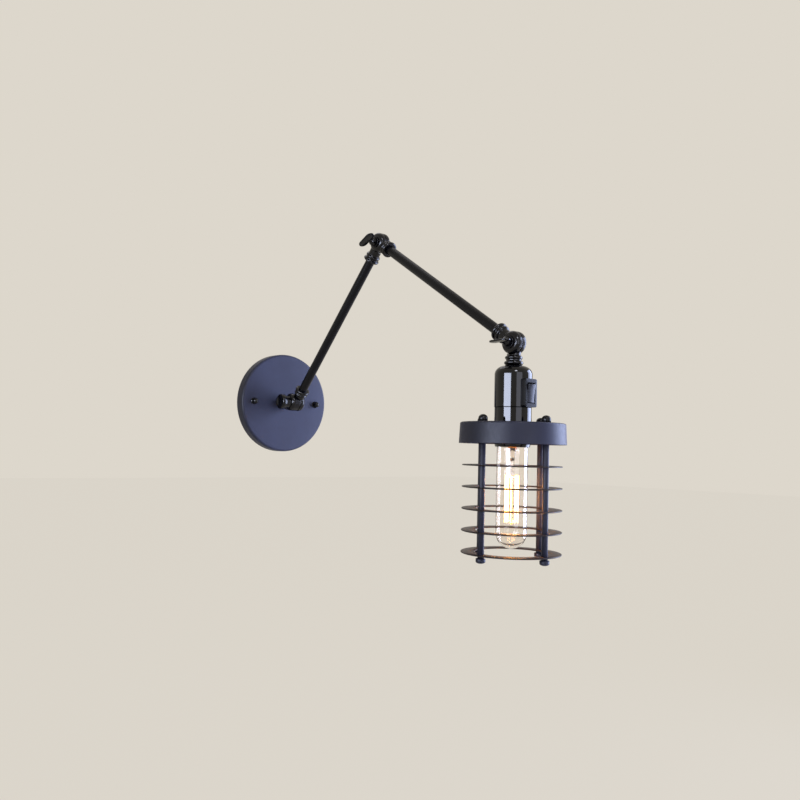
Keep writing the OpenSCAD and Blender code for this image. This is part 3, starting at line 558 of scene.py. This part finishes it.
# Fixings behind the canopy, washers in the joints and small pieces of the lampholder keep their
# CAD form: each has its body, material, slot, and the width in mm that its edges are eased by
fixingSetup = {
    "wall_crossbar": ("wall_mount", zincPlate, "zinc_steel", 0.25),
    "crossbar_studs": ("wall_mount", zincPlate, "zinc_steel", 0.2),
    "stem_nipple": ("wall_mount", zincPlate, "zinc_steel", 0.2),
    "nipple_washer": ("wall_mount", zincPlate, "zinc_steel", 0.12),
    "nipple_lock_nut": ("wall_mount", zincPlate, "zinc_steel", 0.3),
    "earth_screw": ("wall_mount", greenPlate, "green_screw", 0.2),
    "terminal_block": ("wall_mount", porcelain, "ivory_insulator", 0.3),
    "wall_friction_washer": ("wall_mount", dullBronze, "bronze_washer", 0.08),
    "elbow_friction_washer": ("lower_arm", dullBronze, "bronze_washer", 0.08),
    "head_friction_washer": ("upper_arm", dullBronze, "bronze_washer", 0.08),
    "shade_ring": ("lamp_head", socketBlack, "gloss_phenolic", 0.35),
    "shell_base": ("lamp_head", porcelain, "ivory_insulator", 0.2),
    "centre_contact": ("lamp_head", drawnBrass, "brass", 0.1),
}
for nodeName, (body, material, slotName, ease) in fixingSetup.items():
    fixing = copyNode(nodeName, nodeName + "_finished")
    bevelEdges(fixing, ease)
    smoothByAngle(fixing)
    dress(fixing, material, body, nodeName)
print("wall mount made")


# Knuckles and thumb screws, die-cast and coated

castingSetup = {"knuckleMm": 0.25, "screwMm": 0.18, "rounds": 6, "softness": 0.5}
castingPlaces = {
    "wall_knuckle": ("wall_mount", "knuckleMm"),
    "lower_arm_knuckle": ("lower_arm", "knuckleMm"),
    "elbow_lower_knuckle": ("lower_arm", "knuckleMm"),
    "elbow_upper_knuckle": ("upper_arm", "knuckleMm"),
    "head_upper_knuckle": ("upper_arm", "knuckleMm"),
    "head_knuckle": ("lamp_head", "knuckleMm"),
    "elbow_thumb_screw": ("elbow_screw", "screwMm"),
    "head_thumb_screw": ("head_screw", "screwMm"),
}
for nodeName, (body, size) in castingPlaces.items():
    casting = castNode(nodeName, nodeName + "_casting", castingSetup, castingSetup[size])
    dress(casting, fittingCoat, body, nodeName)

collarSetup = {"radius": 6.0, "bore": 2.6, "thickness": 1.2, "seat": 7.0, "burr": 0.2, "edge": 0.5}
collarPlaces = {
    "elbow_collar": ("elbowCollar", elbowPivot, "lower_arm"),
    "head_collar": ("headCollar", headPivot, "upper_arm"),
}
knobSetup = {"radius": 8.9, "length": 12.0, "waist": 7.3, "flare": 5.6, "slope": 1.0, "ease": 0.3,
             "easeHeight": 0.4, "edge": 1.3, "rim": 0.6, "dish": 0.5, "shank": 2.5, "seat": 11.6,
             "shankEnd": -5.0}


def makeCollars(setup):
    r, bore, edge, z = setup["radius"], setup["bore"], setup["edge"], setup["seat"]
    top = z + setup["thickness"]
    stations = [(bore, z), (r - setup["burr"], z), (r, z + setup["burr"]),
                *arc(r - edge, top - edge, edge, 0, 90, 4), (bore, top), (bore, z)]
    collars = repeatPiece(turnProfile("collar", stations, segments=64), len(collarPlaces))
    for piece, (nodeName, (name, pivot, body)) in zip(collars, collarPlaces.items()):
        piece.name = name
        settle(piece, facingLeft(pivot))
        smoothByAngle(piece, 50)
        dress(piece, blackCoat, body, nodeName)


def makeKnob(setup):
    r, z, edge, rim = setup["radius"], setup["seat"], setup["edge"], setup["rim"]
    shank, waist, shankEnd = setup["shank"], setup["waist"], setup["shankEnd"]
    top = z + setup["length"]
    flare, floor = top - setup["flare"], top - setup["dish"]
    stations = [(0, shankEnd), (shank, shankEnd), (shank, z), (waist, z), (waist, flare - setup["slope"]),
                (r - setup["ease"], flare), (r, flare + setup["easeHeight"]),
                *arc(r - edge, top - edge, edge, 0, 90, 6), (r - edge - rim, top),
                (r - edge - 2 * rim, floor), (0, floor)]
    piece = turnProfile("wallClampKnob", stations, segments=80)
    settle(piece, facingLeft(wallPivot))
    smoothByAngle(piece, 40)
    dress(piece, fittingCoat, "wall_knob", "wall_clamp_knob")


makeCollars(collarSetup)
makeKnob(knobSetup)
print("knuckles and screws made")


# Arm tubes, from neck to neck

tubeSetup = {"radius": 5.0, "wall": 1.2, "start": 14.7, "endGap": 17.4}


def makeTube(name, setup, nearPivot, farPivot, body, nodeName):
    reach = farPivot - nearPivot
    z0, z1 = setup["start"], reach.length / mm - setup["endGap"]
    r, bore = setup["radius"], setup["radius"] - setup["wall"]
    stations = [(bore, z0), (r, z0), (r, (z0 + z1) / 2), (r, z1), (bore, z1), (bore, z0)]
    piece = turnProfile(name, stations, segments=64)
    lean = math.degrees(math.atan2(-reach.y, reach.z))
    settle(piece, leaning(nearPivot, lean))
    smoothByAngle(piece, 40)
    dress(piece, blackCoat, body, nodeName)


makeTube("lowerArmTube", tubeSetup, wallPivot, elbowPivot, "lower_arm", "lower_arm_tube")
makeTube("upperArmTube", tubeSetup, elbowPivot, headPivot, "upper_arm", "upper_arm_tube")
print("arms made")


# Lamp head: heights are mm from the head pivot, taken from the frame

def headSpan(nodeName):
    low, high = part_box(nodeName)
    return (low.z - headPivot.z) / mm, (high.z - headPivot.z) / mm


socketSetup = {"radius": 17.0, "wall": 1.4, "crown": 8.1, "dome": 8.6, "boss": 0.8, "bossEase": 0.5,
               "bossEaseHeight": 0.4, "seamEase": 0.35, "stemHole": 4.8}
sleeveSetup = {"skirtRadius": 16.6, "radius": 16.0, "bore": 14.6, "lip": 9.0, "lipGap": 0.2,
               "skirtEase": 0.5, "endEase": 0.6, "boreEase": 0.3}
threadSetup = {"turns": 5, "start": 8.0, "endGap": 1.2, "depth": 0.45, "flankShare": 0.35}
seamHeight, capHeight = headSpan("socket_cap")
sleeveEnd = headSpan("socket_skirt")[0]
panRim, panTop = headSpan("cage_pan")


def makeSocketCap(setup):
    r, wall, crown, hole = setup["radius"], setup["wall"], setup["crown"], setup["stemHole"]
    boss, seam = setup["boss"], setup["seamEase"]
    rise, base = setup["dome"] - boss, capHeight - setup["dome"]
    outside = [(hole, capHeight), (crown - setup["bossEase"], capHeight),
               (crown, capHeight - setup["bossEaseHeight"]), *arc(crown, base, r - crown, 84, 0, 14, rise),
               (r, seamHeight + seam), (r - seam, seamHeight)]
    inside = [(r - wall, seamHeight), *arc(crown, base, r - crown - wall, 0, 84, 10, rise - wall),
              (hole, capHeight - wall - boss), (hole, capHeight)]
    piece = turnProfile("socketCap", outside + inside, segments=128)
    settle(piece, leaning(headPivot))
    smoothByAngle(piece, 36)
    dress(piece, socketBlack, "lamp_head", "socket_cap")


# Rings cut round the sleeve, which the shade ring screws on
def threadStations(setup, sleeve):
    pitch = (panTop - setup["start"] - sleeveEnd - setup["endGap"]) / setup["turns"]
    flank = setup["flankShare"]
    stations = []
    for turn in range(setup["turns"]):
        z = panTop - setup["start"] - pitch * turn
        stations += [(sleeve - setup["depth"], z), (sleeve, z - pitch * flank),
                     (sleeve, z - pitch * (1 - flank))]
    return stations


def makeSocketSkirt(setup):
    bore, sleeve, skirt = setup["bore"], setup["radius"], setup["skirtRadius"]
    seam, ease, boreEase = socketSetup["seamEase"], setup["skirtEase"], setup["boreEase"]
    lip = seamHeight + setup["lip"]
    lipRadius = socketSetup["radius"] - socketSetup["wall"] - setup["lipGap"]
    stations = [(bore, lip), (lipRadius, lip), (lipRadius, seamHeight), (skirt - seam, seamHeight),
                (skirt, seamHeight - seam), (skirt, panTop + ease), (skirt - ease, panTop),
                (sleeve, panTop), *threadStations(threadSetup, sleeve),
                (sleeve - setup["endEase"], sleeveEnd), (bore + boreEase, sleeveEnd),
                (bore, sleeveEnd + boreEase), (bore, lip)]
    piece = turnProfile("socketSkirt", stations, segments=128)
    settle(piece, leaning(headPivot))
    smoothByAngle(piece, 36)
    dress(piece, socketBlack, "lamp_head", "socket_skirt")


makeSocketCap(socketSetup)
makeSocketSkirt(sleeveSetup)

switchSetup = {"width": 15.0, "height": 25.0, "out": 4.0, "depth": 7.2, "corner": 1.6, "rim": 2.3,
               "window": 18.2, "recess": 5.0, "ease": 0.45}
rockerSetup = {"width": 8.8, "height": 16.4, "reach": 3.6, "back": 1.4, "hollow": 0.7, "tilt": 7.0,
               "rows": 11, "ease": 0.4}


def addBlock(name, size, centre):
    deselectAll()
    bpy.ops.mesh.primitive_cube_add(size=1, location=(0, 0, 0))
    piece = bpy.context.object
    piece.name = name
    bpy.ops.object.mode_set(mode="EDIT")
    bpy.ops.mesh.select_all(action="SELECT")
    bpy.ops.transform.resize(value=tuple(s * mm for s in size), center_override=(0, 0, 0))
    bpy.ops.transform.translate(value=tuple(c * mm for c in centre))
    return piece


# Selects the edges that run along an axis, from edit mode
def selectEdgesAlong(piece, axis):
    bpy.ops.mesh.select_mode(type="EDGE")
    bpy.ops.mesh.select_all(action="DESELECT")
    bpy.ops.object.mode_set(mode="OBJECT")
    verts = piece.data.vertices
    for edge in piece.data.edges:
        run = verts[edge.vertices[0]].co - verts[edge.vertices[1]].co
        edge.select = abs(run[axis]) > run.length * 0.99
    bpy.ops.object.mode_set(mode="EDIT")


def makeSwitchHousing(setup):
    w, h, depth = setup["width"], setup["height"], setup["depth"]
    face = -socketSetup["radius"] - setup["out"]
    middle = seamHeight + h / 2
    piece = addBlock("switchHousing", (w, depth, h), (0, face + depth / 2, middle))
    selectEdgesAlong(piece, 1)
    bpy.ops.mesh.bevel(offset=setup["corner"] * mm, segments=4, affect="EDGES")
    bpy.ops.mesh.select_mode(type="FACE")
    bpy.ops.mesh.select_all(action="DESELECT")
    bpy.ops.object.mode_set(mode="OBJECT")
    for polygon in piece.data.polygons:
        polygon.select = polygon.normal.y < -0.9    # the face that the window is cut in
    bpy.ops.object.mode_set(mode="EDIT")
    bpy.ops.mesh.inset(thickness=setup["rim"] * mm)
    share = setup["window"] / (h - 2 * setup["rim"])
    bpy.ops.transform.resize(value=(1, 1, share), center_override=(0, 0, middle * mm))
    bpy.ops.mesh.extrude_region_move(TRANSFORM_OT_translate={"value": (0, setup["recess"] * mm, 0)})
    bpy.ops.object.mode_set(mode="OBJECT")
    bevelEdges(piece, setup["ease"], 3)
    settle(piece, leaning(headPivot))
    smoothByAngle(piece, 40)
    dress(piece, switchBlack, "lamp_head", "switch_housing")


def makeRocker(setup):
    w, h, reach, back = setup["width"], setup["height"], setup["reach"], setup["back"]
    half, near = h / 2, 0.1
    piece = addBlock("switchRocker", (w, reach + back, h), (0, (back - reach) / 2, 0))
    selectEdgesAlong(piece, 2)
    bpy.ops.mesh.subdivide(number_cuts=setup["rows"])
    for row in range(1, setup["rows"] + 1):
        z = h * row / (setup["rows"] + 1) - half
        selectVerts(piece, lambda co: abs(co.z / mm - z) < near and co.y / mm < near - reach)
        sink = setup["hollow"] * (1 - (z / half) ** 2)
        bpy.ops.transform.translate(value=(0, sink * mm, 0))
    bpy.ops.object.mode_set(mode="OBJECT")
    bevelEdges(piece, setup["ease"], 3)
    settle(piece, leaning(pivots["rocker_tip"], setup["tilt"]))
    smoothByAngle(piece, 40)
    dress(piece, rockerBlack, "rocker", "switch_rocker")


makeSwitchHousing(switchSetup)
makeRocker(rockerSetup)
print("lampholder made")


# Cage: pan, rods, nuts, feet and rings

panSetup = {"radius": 47.8, "taper": 0.8, "sheet": 1.5, "edge": 1.7, "hole": 16.1, "flatShare": 0.6,
            "rimEase": 0.3}
rodSetup = {"circle": 38.2, "radius": 2.75, "thread": 1.7, "ease": 0.3}
topNutSetup = {"radius": 4.1, "height": 6.2, "side": 2.6, "ease": 0.4}
footSetup = {"radius": 4.25, "height": 4.6, "side": 2.6, "ease": 0.4}
ringSetup = {"count": 5, "radius": 44.4, "bore": 32.0, "thickness": 1.0, "ease": 0.25}
rodTurns = {"rod_right": 0, "rod_back": 90, "rod_left": 180, "rod_front": 270}


def makePan(setup):
    rim, sheet, edge = setup["radius"], setup["sheet"], setup["edge"]
    hole, ease = setup["hole"], setup["rimEase"]
    r = rim - setup["taper"]
    flat = r * setup["flatShare"]
    outside = [(hole, panTop), (flat, panTop), *arc(r - edge, panTop - edge, edge, 90, 0, 8),
               (rim, panRim + ease), (rim - ease, panRim)]
    inside = [(rim - sheet + ease, panRim), (rim - sheet, panRim + ease),
              *arc(r - edge, panTop - edge, edge - sheet, 0, 90, 6), (flat, panTop - sheet),
              (hole, panTop - sheet), (hole, panTop)]
    piece = turnProfile("cagePan", outside + inside, segments=160)
    settle(piece, leaning(headPivot))
    smoothByAngle(piece, 40)
    dress(piece, sheenPaintedBlackCoat, "lamp_head", "cage_pan")


# A place on the rods' circle, turned over for what hangs from it
def spotOnCircle(degrees, turnOver=0.0, height=0.0):
    turn = math.radians(degrees)
    spot = Vector((math.cos(turn), math.sin(turn), 0)) * rodSetup["circle"] * mm
    spot.z = height * mm
    return Matrix.Translation(headPivot + spot) @ Matrix.Rotation(math.radians(turnOver), 4, "X")


def makeRods(setup):
    r, thread, ease = setup["radius"], setup["thread"], setup["ease"]
    shoulder = panTop - panSetup["sheet"]
    rodEnd = headSpan("rod_feet")[1]
    low, high = headSpan("rod_left")
    stations = [(0, low), (thread, low), (thread, rodEnd), (r - ease, rodEnd), (r, rodEnd + ease),
                (r, shoulder - ease), (r - ease, shoulder), (thread, shoulder), (thread, high), (0, high)]
    rods = repeatPiece(turnProfile("rod", stations, segments=40), len(rodTurns))
    for piece, (nodeName, degrees) in zip(rods, rodTurns.items()):
        piece.name = nodeName + "_turned"
        settle(piece, spotOnCircle(degrees))
        smoothByAngle(piece, 50)
        dress(piece, sheenPaintedBlackCoat, "lamp_head", nodeName)


def makeNuts(name, setup, height, turnOver, material, nodeName):
    r, h, side, ease = setup["radius"], setup["height"], setup["side"], setup["ease"]
    stations = [(0, 0), (r - ease, 0), (r, ease), *arc(0, side, r, 0, 82, 9, h - side), (0, h)]
    nuts = repeatPiece(turnProfile("nut", stations, segments=40), len(rodTurns))
    for nut, degrees in zip(nuts, rodTurns.values()):
        settle(nut, spotOnCircle(degrees, turnOver, height))
    piece = joinPieces(nuts, name)
    smoothByAngle(piece, 50)
    dress(piece, material, "lamp_head", nodeName)


def makeRings(setup):
    r, bore, t, ease = setup["radius"], setup["bore"], setup["thickness"] / 2, setup["ease"]
    stations = [(bore + ease, -t), (r - ease, -t), (r, ease - t), (r, t - ease), (r - ease, t),
                (bore + ease, t), (bore, t - ease), (bore, ease - t), (bore + ease, -t)]
    rings = repeatPiece(turnProfile("ring", stations, segments=128), setup["count"])
    for number, piece in enumerate(rings, 1):
        nodeName = "ring_" + str(number)
        low, high = headSpan(nodeName)
        piece.name = nodeName + "_pressed"
        settle(piece, leaning(headPivot) @ Matrix.Translation((0, 0, (low + high) / 2 * mm)))
        smoothByAngle(piece, 50)
        dress(piece, brownCoat, "lamp_head", nodeName)


makePan(panSetup)
makeRods(rodSetup)
makeNuts("rodTopNuts", topNutSetup, panTop, 0, blackCoat, "rod_top_nuts")
makeNuts("rodFeet", footSetup, headSpan("rod_feet")[1], 180, sheenPaintedBlackCoat, "rod_feet")
makeRings(ringSetup)
print("cage made")


# Bulb: envelope, stem, filament and cap

glassSetup = {"radius": 14.0, "neck": 11.5, "wall": 0.8, "shoulder": 6.4, "neckLength": 4.0}


def makeBulbGlass(setup):
    r, neck, shoulder = setup["radius"], setup["neck"], setup["shoulder"]
    tip, neckTop = headSpan("bulb_glass")
    start = neckTop - setup["neckLength"]
    stations = [(neck, neckTop), *arc(neck, start - shoulder, r - neck, 90, 0, 8, shoulder),
                (r, (start + tip) / 2), *arc(0, tip + r, r, 0, -84, 16), (0, tip)]
    piece = turnProfile("bulbGlass", stations, segments=96)
    wall = piece.modifiers.new("glassWall", "SOLIDIFY")
    wall.thickness = setup["wall"] * mm
    wall.offset = -1
    applyModifiers(piece)
    settle(piece, leaning(headPivot))
    smoothByAngle(piece, 60)
    dress(piece, clearGlass, "lamp_head", "bulb_glass")


makeBulbGlass(glassSetup)

# The pieces in and above the glass keep their CAD form: each has its material, slot, and the
# angle in degrees up to which it is shaded smooth
bulbParts = {
    "bulb_stem": (clearGlass, "clear_glass", 60),
    "bulb_filament": (litCarbon, "filament", 50),
    "bulb_cap": (drawnBrass, "brass", 60),
    "bulb_cap_insulator": (vitrite, "black_insulator", 32),
    "screw_shell": (drawnBrass, "brass", 60),
}
for nodeName, (material, slotName, angle) in bulbParts.items():
    part = copyNode(nodeName, nodeName + "_finished")
    smoothByAngle(part, angle)
    dress(part, material, "lamp_head", nodeName)
print("bulb made")


# Room: pale floor well below the lamp, soft boxes, and a pale world, in metres and watts

roomSetup = {"floorZ": -0.62, "floorSize": 24.0, "paper": "#ddd7cc", "floorGlow": 0.97,
             "sky": "#dfe2ee", "fill": 0.13}
lightSetup = {
    "leftBox": {"place": (-1.3, -0.52, 0.07), "aim": (0, -0.39, -0.01), "size": (1.0, 0.34), "power": 28,
                "tint": "#dce5ff", "diffuse": False},
    "rightBox": {"place": (1.24, -0.79, 0.1), "aim": (0, -0.36, -0.02), "size": (0.9, 1.4), "power": 46,
                 "tint": "#c8d6ff", "diffuse": True},
    "frontBox": {"place": (-0.33, -1.95, 0.12), "aim": (0, -0.3, 0.0), "size": (1.0, 1.0), "power": 8.5,
                 "tint": "#e6eaff", "diffuse": True},
    "topBox": {"place": (0.3, 0.9, 1.7), "aim": (0, -0.2, 0.0), "size": (1.2, 1.2), "power": 7,
               "tint": "#f4f3ff", "diffuse": True},
    "sparkBox": {"place": (-0.7, -1.6, 1.2), "aim": (0, -0.25, 0.05), "size": (0.4, 0.4), "power": 14,
                 "tint": "#eef1ff", "diffuse": False},
}


# 1 for rays that show the paper, straight, through glass or in a gloss, and 0 for the rest
def paperRays(tree):
    path = addNode(tree, "ShaderNodeLightPath")
    seen = addNode(tree, "ShaderNodeMath", {"operation": "MAXIMUM"},
                   {0: path.outputs["Is Camera Ray"], 1: path.outputs["Is Transmission Ray"]})
    mirrored = addNode(tree, "ShaderNodeMath", {"operation": "MAXIMUM"},
                       {0: seen.outputs["Value"], 1: path.outputs["Is Glossy Ray"]})
    return mirrored.outputs["Value"]


def makeRoom(setup):
    deselectAll()
    bpy.ops.mesh.primitive_plane_add(size=setup["floorSize"], location=(0, 0, 0))
    floor = bpy.context.object
    floor.name = "paperFloor"
    settle(floor, Matrix.Translation((0, 0, setup["floorZ"])))
    material, tree = newMaterial("paperSweep")
    paper = addNode(tree, "ShaderNodeBsdfDiffuse", {"Color": hexToLinear(setup["paper"])})
    glow = addNode(tree, "ShaderNodeEmission", {"Color": hexToLinear(setup["paper"]), "Strength": 1.0})
    share = addNode(tree, "ShaderNodeMath", {"operation": "MULTIPLY", 1: setup["floorGlow"]},
                    {0: paperRays(tree)})
    mixed = addNode(tree, "ShaderNodeMixShader", links={0: share.outputs["Value"]})
    tree.links.new(paper.outputs["BSDF"], mixed.inputs[1])
    tree.links.new(glow.outputs["Emission"], mixed.inputs[2])
    finishMaterial(tree, mixed.outputs["Shader"])
    floor.data.materials.append(material)


def makeWorld(setup):
    world = bpy.data.worlds.new("paleStudio")
    bpy.context.scene.world = world
    world.use_nodes = True
    tree = world.node_tree
    tree.nodes.clear()
    fill = addNode(tree, "ShaderNodeBackground",
                   {"Color": hexToLinear(setup["sky"]), "Strength": setup["fill"]})
    shown = addNode(tree, "ShaderNodeBackground", {"Color": hexToLinear(setup["paper"]), "Strength": 1.0})
    mixed = addNode(tree, "ShaderNodeMixShader", links={0: paperRays(tree)})
    tree.links.new(fill.outputs["Background"], mixed.inputs[1])
    tree.links.new(shown.outputs["Background"], mixed.inputs[2])
    addNode(tree, "ShaderNodeOutputWorld", links={"Surface": mixed.outputs["Shader"]})


def makeLights(setup):
    for name, light in setup.items():
        deselectAll()
        bpy.ops.object.light_add(type="AREA", location=light["place"])
        lamp = bpy.context.object
        lamp.name = name
        lamp.data.shape = "RECTANGLE"
        lamp.data.size, lamp.data.size_y = light["size"]
        lamp.data.energy = light["power"]
        lamp.data.color = hexToLinear(light["tint"])[:3]
        lamp.visible_diffuse = light["diffuse"]
        lamp.visible_camera = False
        away = Vector(light["aim"]) - Vector(light["place"])
        lamp.rotation_euler = away.to_track_quat("-Z", "Y").to_euler()


makeRoom(roomSetup)
makeWorld(roomSetup)
makeLights(lightSetup)
bpy.context.scene.view_settings.view_transform = "Standard"
print("room made")
